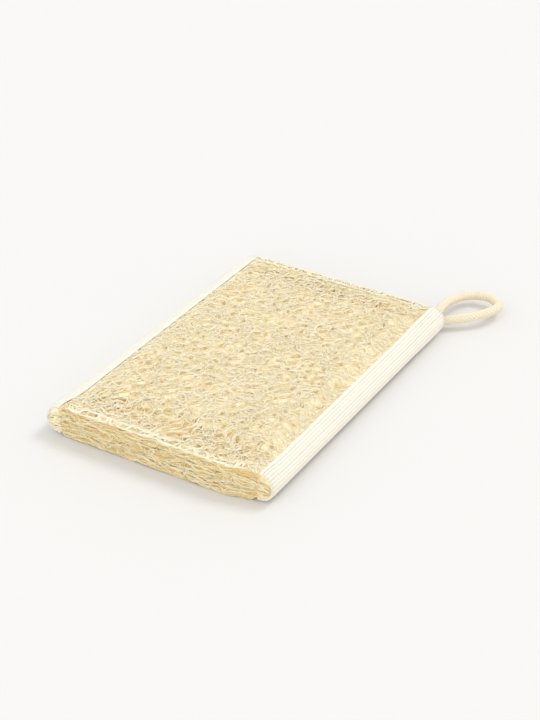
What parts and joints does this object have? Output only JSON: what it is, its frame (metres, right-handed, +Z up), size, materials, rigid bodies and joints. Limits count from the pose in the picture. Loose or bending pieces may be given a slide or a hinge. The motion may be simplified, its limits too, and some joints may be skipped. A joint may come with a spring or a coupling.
{
  "type": "loofah dish pad",
  "caption": "Flat scrubbing pad of pressed loofah netting, bound along both long sides with ribbed cotton tape, with a hanging loop of braided cord at one corner.",
  "frame": {"origin": "under the middle of the pad, on the surface that it lies on", "axes": "+Y along the bound long sides, towards the hanging loop; +Z up through the pad's thickness"},
  "size_m": [0.0924, 0.1482, 0.0121],
  "materials": {
    "loofah_fibre": "dried plant netting, matt",
    "cotton_tape": "undyed ribbed cotton",
    "cotton_cord": "undyed braided cotton"
  },
  "bodies": {
    "root": {"loofah_sheet_bottom": "loofah_fibre", "loofah_sheet_middle": "loofah_fibre", "loofah_sheet_top": "loofah_fibre", "edge_tape_left": "cotton_tape", "edge_tape_right": "cotton_tape", "hanging_loop": "cotton_cord"}
  },
  "joints": []
}
